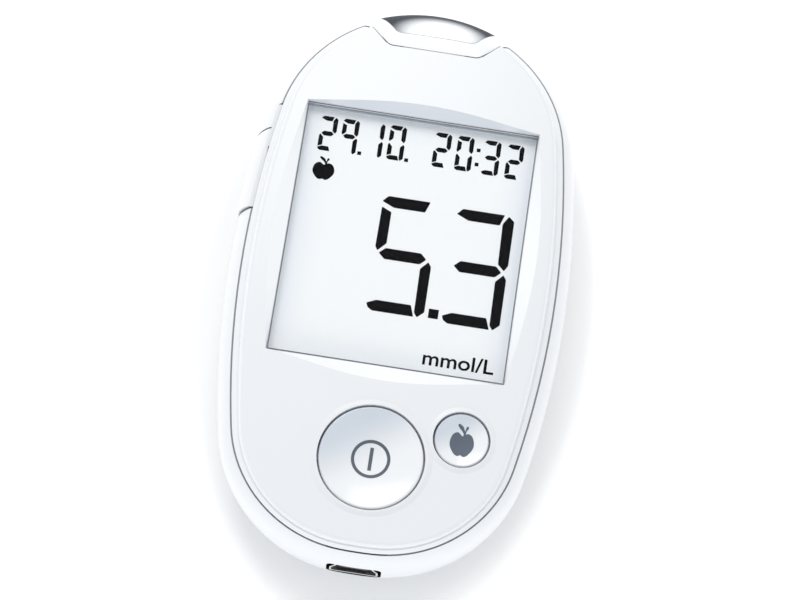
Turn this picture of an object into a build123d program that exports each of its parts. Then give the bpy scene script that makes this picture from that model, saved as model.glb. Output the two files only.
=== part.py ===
from build123d import *
import math
import os

# Blood glucose meter: a palm-sized oval case that lies on its flat back.
# Millimetres. X runs across the case, +Y towards the test strip end, +Z up
# through the screen. The origin is on the surface that the meter lies on,
# under the middle of its widest line.

os.makedirs("parts", exist_ok=True)

# --- case outline at the waist, a chain of tangent arcs
body_width = 55.0
body_length = 97.0
top_shoulder = 1.8  # the strip end's round is this much tighter than half the width
corner_shoulder = 4.1  # and the two lower corners are this much tighter
corner_offset = 1.6  # their centres, either side of the middle
cap_radius = 62.0  # shallow arc across the USB end
top_radius = body_width / 2 - top_shoulder
corner_radius = body_width / 2 - corner_shoulder
end_y = body_length / 2
side_x = body_width / 2

# --- case heights and flanks
waist_z = 10.6
parting_z = 16.0
step_z = 17.0  # foot of the raised front panel
back_inset = 6.5  # from the waist in to the edge of the flat back
hood_top_z = 18.9
crown_over_hood = 0.1  # the quarter ellipse of the flank would close this much higher
crown_height = hood_top_z - waist_z + crown_over_hood
flare_side = 2.05  # from the waist in to the parting line
flare_top = 2.2
flare_bottom = 1.15
wall = 1.6
seam = 0.3  # visible gap between the two covers

# --- front panel
crest_z = 20.3  # the dome's own top, over the middle of the window
dome_radius_x = 250.0
dome_radius_y = 550.0
dome_overhang = 7.5  # past the case sides
dome_end_overhang = 17.5
dome_reach_x = side_x + dome_overhang
dome_reach_y = end_y + dome_end_overhang
dome_stations = 3
panel_wall = 1.5
step_ledge = 0.25  # flat at the panel's foot
panel_draft = 0.75  # the panel's sides lean in by this up to crest_z
panel_edge = 0.7  # round over of the panel's upper edge
lip_thickness = 0.9
lip_depth = 1.3  # tongue behind the parting line
lip_clearance = 0.15

# --- hood at the strip end and the notch it makes in the front panel
hood_front_y = end_y - 9.65
hood_front_half = 7.4
hood_shoulder = (11.5, end_y - 5.6)
hood_half = 16.0
hood_round = 1.6

# --- silver insert around the test strip slot
trim_front_y = end_y - 7.0
trim_front_half = 6.3
trim_half = 10.2
trim_side_y = end_y - 2.3
trim_round = 1.6
trim_bottom_z = 6.8
trim_gap = 0.1
trim_flange = 0.8  # reach and thickness of the rim behind the wall
trim_flange_gap = 0.05
slot_width = 7.4
slot_height = 1.3
slot_round = 0.6
slot_z = 10.0

# --- window
window_from_side = 8.5
window_from_top = 21.9
window_from_bottom = 31.3
window_width = body_width - 2 * window_from_side
window_length = body_length - window_from_top - window_from_bottom
window_y = (window_from_bottom - window_from_top) / 2
lens_top_z = 18.7
window_corner = 0.5
frame_side = 4.0  # solid part of the front cover around the window
frame_end = 2.6
frame_width = window_width + 2 * frame_side
frame_length = window_length + 2 * frame_end
lens_clearance = 0.1
lens_thickness = 0.8
lens_flange = 0.8
lens_flange_thickness = 0.5
facet_side = 2.35  # reach of the sloped borders at mid side
facet_side_rise = 0.69
facet_top = 1.9
facet_top_rise = 1.09
facet_bottom = 2.7
facet_bottom_rise = 1.05
facet_corner = 0.3

# --- display stack below the lens
border = 0.2  # edge of the gasket that shows through the lens
gasket_thickness = 0.2
glass_thickness = 0.7
glass_margin = 0.6  # glass past the window on every side
contact_ledge = 1.6  # front glass past the rear one, over the zebra strip
reflector_thickness = 0.3
frame_wall = 0.25
frame_clearance = 0.1
frame_opening_margin = 2.2
zebra_width = 1.2
zebra_inset = 2.0

# --- main board
board_z = 11.25
board_thickness = 1.0
board_inset = 4.5

# --- buttons
power_x = 0.0
power_y = 15.9 - end_y
power_radius = 8.2
marker_x = 13.6
marker_y = 21.0 - end_y
marker_radius = 4.25
button_gap = 0.3
button_flange = 0.6  # past the button's hole, below the cover
button_flange_thickness = 1.1
button_flange_top_z = 17.2
button_rest_gap = 0.05
button_wall = 1.0
button_dish_share = 0.14  # depth of the dished face over the button's radius
button_edge = 0.35
button_travel = 0.35
button_over_cover = 0.3
stem_radius = 1.4
collar_width = 0.45  # from the button's hole to the middle of the collar's slope
collar_height = 0.35
collar_flank = 0.7  # run of its slope
collar_reach = 1.5  # the cone it is cut from is this much taller, up and down
power_dome_radius = 3.0
marker_dome_radius = 2.5
dome_sheet = 0.15
dome_height = button_travel + dome_sheet

# --- side rocker on the left flank
rocker_y_top = 26.4
rocker_y_bottom = 7.7
rocker_z_bottom = 6.6
rocker_gap = 0.3
rocker_proud = 0.5
rocker_dip = 0.25
rocker_pivot_x = 4.9 - side_x
rocker_pivot_y = (rocker_y_top + rocker_y_bottom) / 2
rocker_wall = 1.4
rocker_arm = 6.5  # from the pivot to each plunger
rocker_arm_width = 1.6
rocker_arm_height = 1.7
rocker_rib_x = rocker_pivot_x - 1.0
rocker_tick_y = rocker_pivot_y + 4.95
rocker_tick_width = 0.3
rocker_tick_depth = 0.25
pin_radius = 0.8
pin_clearance = 0.05
pin_length = 1.2
hub_radius = 1.4
bearing_size = 2.6
hub_height = 5.0
bearing_low_z = 8.0
bearing_high_z = 13.4
bearing_notch = 0.4
plunger_radius = 0.6
plunger_clearance = 0.05
plunger_tip_x = rocker_pivot_x - 0.2
plunger_gap = 0.1
plunger_length = 3.0
plunger_stroke = 0.35
switch_size = (3.4, 4.0, 2.0)
switch_face_x = rocker_pivot_x + 2.0

# --- battery bay
bay_y = 2.0
door_width = 27.0
door_length = 48.0
door_thickness = 1.3
door_recess = 0.2
door_gap = 0.15
door_corner = 3.0
door_pad = 2.0  # thickened back around the door
door_pad_z = 3.2
door_pin_radius = 0.5
door_pin_reach = 0.8
door_pin_clearance = 0.05
door_scoop_radius = 20.0
door_scoop_depth = 0.8
door_lift = 0.1  # space between the door and its ledge
cell_diameter = 20.0
cell_height = 3.2
cell_gap = 0.6
cell_side_clearance = 0.5
bay_wall = 1.2
bay_corner = 1.0
bay_ceiling_z = 6.2
bay_ceiling = 1.0
contact_sheet = 0.2
contact_width = 5.0
contact_length = 12.0
contact_bump_radius = 1.5
contact_pin_radius = 0.5
contact_pin_clearance = 0.1
link_width = 6.0
link_length = 30.0

# --- screws
case_screw_x = 12.5
case_screw_y_top = end_y - 15.0
case_screw_y_bottom = 11.0 - end_y
case_screw_radius = 1.0
case_screw_head_radius = 1.9
case_screw_head_height = 1.3
case_screw_seat_z = 7.4
case_screw_length = 8.0
screw_slot_width = 0.4
screw_slot_depth = 0.5
screw_slot_share = 1.3  # the cross slot's length over the head's radius
post_radius = 2.6
front_post_radius = 2.3
screw_clearance = 0.2
board_screw_x = side_x - 10.0
board_screw_y = 25.0 - end_y
board_screw_radius = 0.8
board_screw_head_radius = 1.5
board_screw_head_height = 1.0
board_screw_length = 5.0
board_post_radius = 1.9

# --- USB mini-B receptacle
usb_width = 7.7
usb_height = 3.9
usb_length = 9.2
usb_sheet = 0.3
usb_mouth_y = 0.5 - end_y
usb_corner = 0.4
usb_narrow_width = 6.2  # upper part of the port, at the board
usb_shoulder_drop = 1.0  # from the board down to the shoulders
usb_shoulder_height = 1.2
usb_cutout_width = 8.7
usb_cutout_height = 4.9
usb_cutout_corner = 1.0
usb_tongue_width = 4.2
usb_tongue_height = 1.1
usb_tongue_length = 6.2
usb_base_length = 2.4
usb_contact_count = 5
usb_contact_pitch = 0.8
usb_contact_width = 0.4
usb_contact_height = 0.2
usb_core_clearance = 0.05

# --- test strip connector
connector_width = 11.0
connector_height = 3.5
connector_mouth_gap = 1.2
connector_length = 13.0
connector_slot_width = 6.6
connector_slot_height = 1.0
connector_slot_depth = 10.0
strip_contact_count = 3
strip_contact_pitch = 1.8
strip_contact_width = 0.8

# --- parts soldered to the board: width, length, height and middle
microcontroller_size = (10.0, 10.0, 1.2)
microcontroller_at = (4.0, 8.0)
memory_size = (5.0, 6.0, 1.0)
memory_at = (-9.0, 10.0)
crystal_size = (2.5, 6.5, 1.4)
crystal_at = (window_width / 2 - 5.5, 8.0)
buzzer_radius = 4.75
buzzer_height = 2.2
buzzer_at = (10.5, 21.0 - end_y)
thermistor_size = (0.8, 1.6, 0.7)
thermistor_at = (8.0, end_y - 12.5)
passive_size = (1.6, 0.8, 0.6)
passive_pitch = 2.4
passive_count = 5
passive_at = (-11.0, -4.0)

# --- stations of the curved back and of the curved crown, in degrees
back_turns = (90, 72, 54, 36, 18)
crown_turns = (20, 40, 57, 72)

inner_ceiling_z = hood_top_z - 1.5  # underside of the hood
tall = 30.0  # past every piece


def arc(centre, radius, start, end):
    """Arc about a centre between two points of its circle, the short way."""
    turn = [math.atan2(p.Y - centre.Y, p.X - centre.X) for p in (start, end)]
    if turn[1] - turn[0] > math.pi:
        turn[1] -= 2 * math.pi
    if turn[0] - turn[1] > math.pi:
        turn[1] += 2 * math.pi
    middle = sum(turn) / 2
    through = centre + Vector(math.cos(middle), math.sin(middle)) * radius
    return ThreePointArc(start, through, end)


def chain(side=0.0, top=0.0, bottom=0.0):
    """Right half of the case outline: centre, radius, start and end of each arc."""
    half = side_x - side
    end_top = end_y - top
    end_bottom = bottom - end_y
    r_top = top_radius - side
    r_corner = corner_radius - side
    r_cap = cap_radius - side
    c_top = Vector(0, end_top - r_top)
    c_cap = Vector(0, end_bottom + r_cap)
    c_corner = Vector(
        corner_offset, c_cap.Y - math.sqrt((r_cap - r_corner) ** 2 - corner_offset**2)
    )
    r_upper = (half**2 + c_top.Y**2 - r_top**2) / (2 * (half - r_top))
    r_lower = ((half - corner_offset) ** 2 + c_corner.Y**2 - r_corner**2) / (
        2 * (half - corner_offset - r_corner)
    )
    c_upper = Vector(half - r_upper, 0)
    c_lower = Vector(half - r_lower, 0)
    widest = Vector(half, 0)
    p_top = c_top + (c_top - c_upper).normalized() * r_top
    p_corner = c_corner + (c_corner - c_lower).normalized() * r_corner
    p_cap = c_corner + (c_corner - c_cap).normalized() * r_corner
    return [
        (c_top, r_top, Vector(0, end_top), p_top),
        (c_upper, r_upper, p_top, widest),
        (c_lower, r_lower, widest, p_corner),
        (c_corner, r_corner, p_corner, p_cap),
        (c_cap, r_cap, p_cap, Vector(0, end_bottom)),
    ]


def outline(z, side=0.0, top=0.0, bottom=0.0):
    """Face of the case outline at height z, drawn in from the waist."""
    right = [arc(*link) for link in chain(side, top, bottom)]
    left = [edge.mirror(Plane.YZ) for edge in reversed(right)]
    return Pos(0, 0, z) * make_face(right + left)


def waist_half(y):
    """Half width of the case at the waist."""
    for centre, radius, start, end in chain():
        if end.Y <= y <= start.Y:
            return centre.X + math.sqrt(radius**2 - (y - centre.Y) ** 2)
    return 0.0


def crown_insets(z):
    """Side, top and bottom insets of the flank above the waist."""
    rise = [(height - waist_z) / crown_height for height in (z, parting_z)]
    share, at_parting = [1 - math.sqrt(1 - r**2) for r in rise]
    return [flare * share / at_parting for flare in (flare_side, flare_top, flare_bottom)]


def envelope(inward=0.0):
    """Whole rounded body of the case up to the hood's height, drawn in sideways."""
    faces = []
    for turn in back_turns:
        angle = math.radians(turn)
        inset = back_inset * (1 - math.cos(angle)) + inward
        faces.append(outline(waist_z * (1 - math.sin(angle)), inset, inset, inset))
    faces.append(outline(waist_z, inward, inward, inward))
    rises = [crown_height * math.sin(math.radians(turn)) for turn in crown_turns]
    for z in [*[waist_z + rise for rise in rises], hood_top_z]:
        faces.append(outline(z, *[inset + inward for inset in crown_insets(z)]))
    return loft(faces)


def slab(z_low, z_high):
    """Everything between two heights."""
    size = 2 * body_length
    return Pos(0, 0, (z_low + z_high) / 2) * Box(size, size, z_high - z_low)


def block(x_low, x_high, y_low, y_high, z_low, z_high):
    """Box between two corners."""
    middle = Pos((x_low + x_high) / 2, (y_low + y_high) / 2, (z_low + z_high) / 2)
    return middle * Box(x_high - x_low, y_high - y_low, z_high - z_low)


def pad(at, size, z_low):
    """Box of a given size that stands at z_low."""
    return Pos(at[0], at[1], z_low + size[2] / 2) * Box(*size)


def rod(x, y, radius, z_low, z_high):
    """Upright cylinder between two heights."""
    return Pos(x, y, (z_low + z_high) / 2) * Cylinder(radius, z_high - z_low)


def plate(width, length, radius, z_low, z_high, y=0.0):
    """Upright prism with rounded corners."""
    face = Pos(0, y, z_low) * RectangleRounded(width, length, radius)
    return extrude(face, z_high - z_low)


def along_y(face, y_low, y_high):
    """Prism along Y of a face drawn in X and Z."""
    return extrude(Plane.XZ.offset(-y_high) * face, y_high - y_low)


def dome_z(x, y):
    """Height of the front panel's doubly curved face."""
    return crest_z - x**2 / (2 * dome_radius_x) - (y - window_y) ** 2 / (2 * dome_radius_y)


def dome(sunk=0.0):
    """Everything under the front panel's doubly curved face."""
    faces = []
    for station in range(-dome_stations, dome_stations + 1):
        y = window_y + station * dome_reach_y / dome_stations
        middle = (0, dome_z(0, y) - sunk)
        sides = [(x, dome_z(x, y) - sunk) for x in (-dome_reach_x, dome_reach_x)]
        floor = [(x, -sunk) for x in (dome_reach_x, -dome_reach_x)]
        crown = ThreePointArc(sides[0], middle, sides[1])
        face = make_face([crown, Polyline(sides[1], *floor, sides[0])])
        faces.append(Plane.XZ.offset(-y) * face)
    return loft(faces)


def dome_plane(x, y, lift=0.0):
    """Plane that touches the front panel over a point, raised along its normal."""
    normal = Vector(x / dome_radius_x, (y - window_y) / dome_radius_y, 1).normalized()
    return Plane(Vector(x, y, dome_z(x, y)) + normal * lift, z_dir=normal)


def notch(front_y, front_half, shoulder, far_half, radius):
    """Plan shape open towards the strip end, the same on both sides."""
    far_y = body_length
    points = [(front_half, front_y), shoulder, (far_half, shoulder[1]), (far_half, far_y)]
    mirrored = [(-x, y) for x, y in reversed(points)]
    face = make_face(Polyline(*points, *mirrored, close=True))
    inner = [v for v in face.vertices() if abs(v.X) < far_half - radius / 2]
    return fillet(inner, radius)


def hood_zone(grow=0.0):
    """Prism of the part of the case top that belongs to the rear cover."""
    shoulder = (hood_shoulder[0], hood_shoulder[1] - grow)
    face = notch(hood_front_y - grow, hood_front_half, shoulder, hood_half, hood_round)
    return extrude(face, tall)


def trim_zone(grow=0.0):
    """Prism of the silver insert, from below its slot upwards."""
    points = [(trim_front_half + grow / 2, trim_front_y - grow), (trim_half + grow, trim_side_y)]
    points.append((trim_half + grow, body_length))
    mirrored = [(-x, y) for x, y in reversed(points)]
    face = make_face(Polyline(*points, *mirrored, close=True))
    face = fillet([v for v in face.vertices() if v.Y < end_y], trim_round)
    return extrude(Pos(0, 0, trim_bottom_z - grow) * face, tall)


def panel(foot_z, inward=0.0):
    """Raised front panel without its dome, its sides leaning in."""
    foot = [inset + step_ledge + inward for inset in crown_insets(step_z)]
    head = [inset + panel_draft for inset in foot]
    return loft([outline(foot_z, *foot), outline(crest_z, *head)], ruled=True)


def ring(z_low, z_high, inset, thickness):
    """Band that follows the case outline at the parting line."""
    edges = [flare + inset for flare in (flare_side, flare_top, flare_bottom)]
    inner = [edge + thickness for edge in edges]
    band = outline(z_low, *edges) - outline(z_low, *inner)
    return extrude(band, z_high - z_low)


def bearing(z_low, z_high, grow=0.0):
    """Small square block around the rocker's pivot."""
    half = bearing_size / 2 + grow
    x, y = rocker_pivot_x, rocker_pivot_y
    return block(x - half, x + half, y - half, y + half, z_low, z_high)


# --- heights and places that follow from the sizes above
board_top_z = board_z + board_thickness
glass_top_z = lens_top_z - lens_thickness - lens_flange_thickness - gasket_thickness
rear_glass_top_z = glass_top_z - glass_thickness
reflector_top_z = rear_glass_top_z - glass_thickness
frame_ledge_z = reflector_top_z - reflector_thickness
glass_width = window_width + 2 * glass_margin
glass_length = window_length + 2 * glass_margin
ledge_y = window_y - glass_length / 2 - contact_ledge
zebra_y = ledge_y + contact_ledge / 2
flange_width = window_width - 2 * lens_clearance + 2 * lens_flange
flange_length = window_length - 2 * lens_clearance + 2 * lens_flange
lens_seat_z = lens_top_z - lens_thickness
usb_z = board_z - usb_height / 2
plunger_z = board_z - switch_size[2] / 2
door_top_z = door_recess + door_thickness
door_low_y = bay_y - door_length / 2
door_high_y = bay_y + door_length / 2
door_pin_z = door_recess + door_thickness / 2
door_pin_y = door_high_y - door_thickness / 2
cell_z = door_top_z + contact_sheet * 2
cell_pitch = cell_diameter + cell_gap
bay_width = cell_diameter + 2 * cell_side_clearance
bay_length = cell_diameter + cell_pitch + 2 * cell_side_clearance
cells = [(0, bay_y + side * cell_pitch / 2) for side in (-1, 1)]
trim_thickness = wall + trim_flange_gap + trim_flange
trim_inner_y = end_y - trim_thickness
connector_mouth_y = trim_inner_y - connector_mouth_gap
power_hole = power_radius + button_gap
marker_hole = marker_radius + button_gap
holes = [(power_x, power_y, power_hole), (marker_x, marker_y, marker_hole)]
case_screws = [
    (side * case_screw_x, y)
    for side in (-1, 1)
    for y in (case_screw_y_bottom, case_screw_y_top)
]
board_screws = [(side * board_screw_x, board_screw_y) for side in (-1, 1)]
outer = envelope()
front_dome = dome()
lower_front_dome = dome(panel_wall)
raised_dome = dome(-collar_height)
button_dome = dome(-button_over_cover)


def front_cover():
    """White front half: a rim, a domed panel, the window and the button holes."""
    blank = panel(step_z) & front_dome
    upper_edges = [e for e in blank.edges() if e.bounding_box().min.Z > step_z + panel_edge / 2]
    cover = fillet(upper_edges, panel_edge) + (outer & slab(parting_z + seam, step_z))
    cones = Part() + [collar(x, y, radius) for x, y, radius in holes]
    cover += cones & raised_dome
    cavity = panel(parting_z, panel_wall) & lower_front_dome
    cavity -= plate(frame_width, frame_length, window_corner, glass_top_z, tall, window_y)
    for x, y, radius in holes:
        well = radius + button_flange + screw_clearance
        cavity -= rod(x, y, well + panel_wall, button_flange_top_z, tall)
    cavity -= [rod(x, y, front_post_radius, 0, tall) for x, y in case_screws]
    cover -= cavity
    lip = ring(parting_z - lip_depth, step_z - seam, wall + lip_clearance, lip_thickness)
    lip -= block(-body_width, 0, rocker_y_bottom - wall, rocker_y_top + wall, 0, parting_z + seam)
    posts = [rod(x, y, front_post_radius, board_top_z, step_z) for x, y in case_screws]
    cover += [lip, bearing(bearing_high_z, step_z), *posts]
    cover -= hood_zone(seam)
    for x, y, radius in holes:
        well = radius + button_flange + screw_clearance
        cover -= rod(x, y, well, 0, button_flange_top_z + button_rest_gap)
        cover -= rod(x, y, radius, 0, tall)
    screw_tip_z = case_screw_seat_z + case_screw_length + screw_clearance
    cover -= [rod(x, y, case_screw_radius, 0, screw_tip_z) for x, y in case_screws]
    cover -= pin_hole(bearing_high_z)
    cover -= window_cut()
    return cover


def collar(x, y, radius):
    """Low cone that stands around a button hole, square to the panel."""
    middle = radius + collar_width
    height = 2 * collar_reach * collar_height
    run = collar_reach * collar_flank
    cone = Cone(middle + run, middle - run, height)
    return dome_plane(x, y, collar_height / 2).location * cone


def window_cut():
    """Window opening with its four sloped borders and the pocket behind it."""
    half_x, half_y = window_width / 2, window_length / 2
    rise = crest_z - lens_top_z
    low = Pos(0, window_y, lens_top_z) * Rectangle(window_width, window_length)
    corner_x, corner_y = half_x + facet_corner, half_y + facet_corner
    side = half_x + facet_side * rise / facet_side_rise
    top = half_y + facet_top * rise / facet_top_rise
    bottom = half_y + facet_bottom * rise / facet_bottom_rise
    bulged = make_face(
        [
            ThreePointArc((-corner_x, -corner_y), (0, -bottom), (corner_x, -corner_y)),
            ThreePointArc((corner_x, -corner_y), (side, 0), (corner_x, corner_y)),
            ThreePointArc((corner_x, corner_y), (0, top), (-corner_x, corner_y)),
            ThreePointArc((-corner_x, corner_y), (-side, 0), (-corner_x, -corner_y)),
        ]
    )
    facets = loft([low, Pos(0, window_y, crest_z) * bulged], ruled=True)
    opening = block(
        -half_x, half_x, window_y - half_y, window_y + half_y, lens_seat_z, lens_top_z
    )
    pocket = plate(
        flange_width + 2 * lens_clearance,
        flange_length + 2 * lens_clearance,
        window_corner,
        0,
        lens_seat_z,
        window_y,
    )
    return facets + opening + pocket


def pin_hole(z):
    """Bore for one end of the rocker's pin, either side of a bearing face."""
    reach = pin_length + bearing_notch
    radius = pin_radius + pin_clearance
    return rod(rocker_pivot_x, rocker_pivot_y, radius, z - reach, z + reach)


def rear_cover():
    """White back half with the hood, battery bay, screw posts and openings."""
    shell = (outer & slab(-tall, parting_z)) + (outer & hood_zone())
    inside = envelope(wall)
    hood_inside = inside & slab(wall, inner_ceiling_z) & hood_zone(-wall)
    cavity = (inside & slab(wall, parting_z)) + hood_inside
    cavity -= block(
        -door_width / 2 - door_pad,
        door_width / 2 + door_pad,
        door_low_y - door_pad,
        door_high_y + door_pad,
        0,
        door_pad_z,
    )
    bay_top_z = bay_ceiling_z + bay_ceiling
    bay_box = (bay_width + 2 * bay_wall, bay_length + 2 * bay_wall)
    cavity -= plate(*bay_box, bay_corner, 0, bay_top_z, bay_y)
    cavity -= [rod(x, y, post_radius, 0, board_z) for x, y in case_screws]
    cavity -= [rod(x, y, board_post_radius, 0, board_z) for x, y in board_screws]
    cavity -= bearing(0, bearing_low_z)
    cover = shell - cavity
    cover -= trim_zone(trim_gap)
    cover -= along_y(
        Pos(0, usb_z) * RectangleRounded(usb_cutout_width, usb_cutout_height, usb_cutout_corner),
        -body_length,
        usb_mouth_y + wall * 2,
    )
    key_slot = block(
        -body_width,
        0,
        rocker_y_bottom - rocker_gap,
        rocker_y_top + rocker_gap,
        rocker_z_bottom - rocker_gap,
        tall,
    )
    cover -= key_slot - envelope(wall + bearing_notch)
    cover -= pin_hole(bearing_low_z)
    head_hole = case_screw_head_radius + screw_clearance
    for x, y in case_screws:
        cover -= rod(x, y, head_hole, -tall, case_screw_seat_z)
        cover -= rod(x, y, case_screw_radius + screw_clearance, 0, board_z)
    cover -= [rod(x, y, board_screw_radius, wall, board_z) for x, y in board_screws]
    cover -= plate(bay_width, bay_length, door_corner, -tall, bay_ceiling_z, bay_y)
    cover -= door_blank(door_gap, -tall, door_top_z + door_lift)
    cover -= hinge_pins(door_pin_radius + door_pin_clearance, door_pin_reach + door_gap * 2)
    cover -= thumb_scoop()
    for x, y in cells:
        pin = contact_pin_radius + contact_pin_clearance
        cover -= rod(x, y, pin, 0, board_z)
    return cover


def door_blank(grow, z_low, z_high):
    """Plan of the battery door, rounded at its latch end."""
    face = Pos(0, bay_y) * Rectangle(door_width + 2 * grow, door_length + 2 * grow)
    latch_end = [v for v in face.vertices() if v.Y < bay_y]
    face = fillet(latch_end, door_corner + grow)
    return extrude(Pos(0, 0, z_low) * face, z_high - z_low)


def hinge_pins(radius, reach):
    """Two stub pins on one line, at the door's upper corners."""
    length = door_width + 2 * reach
    return Pos(0, door_pin_y, door_pin_z) * Rot(0, 90, 0) * Cylinder(radius, length)


def thumb_scoop():
    """Shallow dent that a thumb presses to open the door."""
    return Pos(0, door_low_y, door_scoop_depth - door_scoop_radius) * Sphere(door_scoop_radius)


def battery_door():
    """Flat door in the back that turns on two stub pins."""
    door = door_blank(0, door_recess, door_top_z)
    barrel = [
        e
        for e in door.edges().filter_by(Axis.X)
        if abs(e.center().Y - door_high_y) < door_gap
    ]
    door = fillet(barrel, door_thickness / 2 - door_pin_clearance)
    door += hinge_pins(door_pin_radius, door_pin_reach)
    return door - thumb_scoop()


def battery_link():
    """Spring sheet on the door that joins the two cells."""
    low = door_top_z
    sheet = block(
        -link_width / 2,
        link_width / 2,
        bay_y - link_length / 2,
        bay_y + link_length / 2,
        low,
        low + contact_sheet,
    )
    return sheet + [rod(x, y, contact_bump_radius, low, cell_z) for x, y in cells]


def battery_contact(x, y):
    """Leaf under the bay's ceiling with a nub on the cell and a pin to the board."""
    half_x, half_y = contact_width / 2, contact_length / 2
    leaf = block(
        x - half_x, x + half_x, y - half_y, y + half_y, bay_ceiling_z - contact_sheet, bay_ceiling_z
    )
    nub = rod(x, y, contact_bump_radius, cell_z + cell_height, bay_ceiling_z)
    return leaf + nub + rod(x, y, contact_pin_radius, bay_ceiling_z, board_z)


def strip_port_trim():
    """Silver insert over the strip end, with the slot and a rim behind the wall."""
    inside = envelope(trim_thickness) & slab(-tall, hood_top_z - trim_thickness)
    insert = (outer & trim_zone()) - inside
    behind = envelope(wall + trim_flange_gap) & slab(-tall, inner_ceiling_z - trim_flange_gap)
    rim = (behind & trim_zone(trim_flange)) - inside
    slot = along_y(
        Pos(0, slot_z) * RectangleRounded(slot_width, slot_height, slot_round),
        0,
        body_length,
    )
    return insert + (rim & slab(trim_bottom_z - trim_flange, parting_z)) - slot


def window_lens():
    """Clear window, flush in its opening, with a thin flange behind the cover."""
    length = window_length - 2 * lens_clearance
    width = window_width - 2 * lens_clearance
    flange = plate(
        flange_width,
        flange_length,
        window_corner,
        lens_seat_z - lens_flange_thickness,
        lens_seat_z,
        window_y,
    )
    return flange + Pos(0, window_y, lens_top_z - lens_thickness / 2) * Box(
        width, length, lens_thickness
    )


def window_gasket():
    """Black foam frame between the window and the display glass."""
    low, high = glass_top_z, glass_top_z + gasket_thickness
    ring_out = plate(glass_width, glass_length, window_corner, low, high, window_y)
    width, length = window_width - 2 * border, window_length - 2 * border
    return ring_out - Pos(0, window_y, (low + high) / 2) * Box(width, length, 2 * tall)


def display_glass(z_high, ledge):
    """One sheet of the display, with or without the contact ledge."""
    half = glass_width / 2
    top_y = window_y + glass_length / 2
    low_y = window_y - glass_length / 2 - ledge
    return block(-half, half, low_y, top_y, z_high - glass_thickness, z_high)


def lcd_reflector():
    """Thin diffusing sheet under the display."""
    middle = Pos(0, window_y, reflector_top_z - reflector_thickness / 2)
    return middle * Box(glass_width, glass_length, reflector_thickness)


def lcd_frame():
    """White carrier that holds the display above the board."""
    reach = frame_clearance + frame_wall
    half = glass_width / 2 + reach
    high_y = window_y + glass_length / 2
    rim_z = glass_top_z - frame_clearance
    body = block(-half, half, ledge_y - reach, high_y + reach, board_top_z, rim_z)
    inner = half - frame_wall
    clear = frame_clearance
    body -= block(-inner, inner, ledge_y - clear, high_y + clear, frame_ledge_z, tall)
    opening = inner - frame_opening_margin
    low = zebra_y + frame_opening_margin
    body -= block(-opening, opening, low, high_y - frame_opening_margin, 0, tall)
    return body - zebra(frame_clearance)


def zebra(grow=0.0):
    """Striped rubber connector between the display's ledge and the board."""
    half_x = glass_width / 2 - zebra_inset + grow
    half_y = zebra_width / 2 + grow
    return block(
        -half_x, half_x, zebra_y - half_y, zebra_y + half_y, board_top_z, rear_glass_top_z
    )


def button(x, y, radius, hole):
    """Hollow push button with a dished face, a flange and a stem."""
    low_z = button_flange_top_z - button_flange_thickness
    body = rod(x, y, radius, low_z, tall) & button_dome
    rim = [e for e in body.edges() if e.bounding_box().min.Z > button_flange_top_z]
    body = fillet(rim, button_edge)
    body += rod(x, y, hole + button_flange, low_z, button_flange_top_z)
    dish = button_dish_share * radius
    dish_radius = (radius**2 + dish**2) / (2 * dish)
    plane = dome_plane(x, y, button_over_cover + dish_radius - dish)
    body -= plane.location * Sphere(dish_radius)
    roof_z = dome_plane(x, y).origin.Z + button_over_cover - dish - button_wall
    body -= rod(x, y, radius - button_wall, 0, roof_z)
    stem_low_z = board_top_z + dome_height + button_rest_gap
    return body + rod(x, y, stem_radius, stem_low_z, roof_z + button_wall / 2)


def snap_dome(x, y, radius):
    """Thin metal dome switch on the board."""
    ball = (radius**2 + dome_height**2) / (2 * dome_height)
    inner = ball - dome_sheet
    centre = Pos(x, y, board_top_z + dome_height - ball)
    sheet = centre * Sphere(ball) - centre * Sphere(inner)
    return sheet & slab(board_top_z, tall)


def side_rocker():
    """Two-way key in the left flank, turning on an upright pin."""
    low, high = rocker_y_bottom, rocker_y_top
    outside_y = [low + (high - low) * step / 4 for step in range(5)]
    lifts = (0, rocker_proud, rocker_dip, rocker_proud, 0)
    crest = [(-waist_half(y) - lift, y) for y, lift in zip(outside_y, lifts)]
    plan = make_face([Spline(*crest), Polyline(crest[-1], (0, high), (0, low), crest[0])])
    blade = Pos(0, 0, rocker_z_bottom) * extrude(plan, parting_z - rocker_z_bottom)
    key = (blade & envelope(-rocker_proud)) - envelope(rocker_wall)
    middle_z = (bearing_low_z + bearing_high_z) / 2
    skin = envelope(rocker_wall / 2)
    arm_low = plunger_z - rocker_arm_height / 2
    arm_high = plunger_z + rocker_arm_height / 2
    half = rocker_arm_width / 2
    reach = rocker_arm + half
    rib = block(
        -body_width,
        rocker_rib_x,
        rocker_pivot_y - reach,
        rocker_pivot_y + reach,
        arm_low,
        arm_high,
    )
    for side in (-1, 1):
        y = rocker_pivot_y + side * rocker_arm
        rib += block(
            -body_width, plunger_tip_x - plunger_gap, y - half, y + half, arm_low, arm_high
        )
    web = block(
        -body_width,
        rocker_pivot_x,
        rocker_pivot_y - hub_radius / 2,
        rocker_pivot_y + hub_radius / 2,
        middle_z - hub_height / 2,
        middle_z + hub_height / 2,
    )
    key -= bearing(bearing_high_z - bearing_notch, tall, bearing_notch)
    key += (rib + web) & skin
    key += rod(
        rocker_pivot_x,
        rocker_pivot_y,
        hub_radius,
        middle_z - hub_height / 2,
        middle_z + hub_height / 2,
    )
    pin_half = (bearing_high_z - bearing_low_z) / 2 + pin_length
    key += rod(rocker_pivot_x, rocker_pivot_y, pin_radius, middle_z - pin_half, middle_z + pin_half)
    tick = rocker_tick_width / 2
    mark = block(-body_width, 0, rocker_tick_y - tick, rocker_tick_y + tick, 0, tall)
    return key - (mark - envelope(rocker_tick_depth - rocker_proud))


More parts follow.
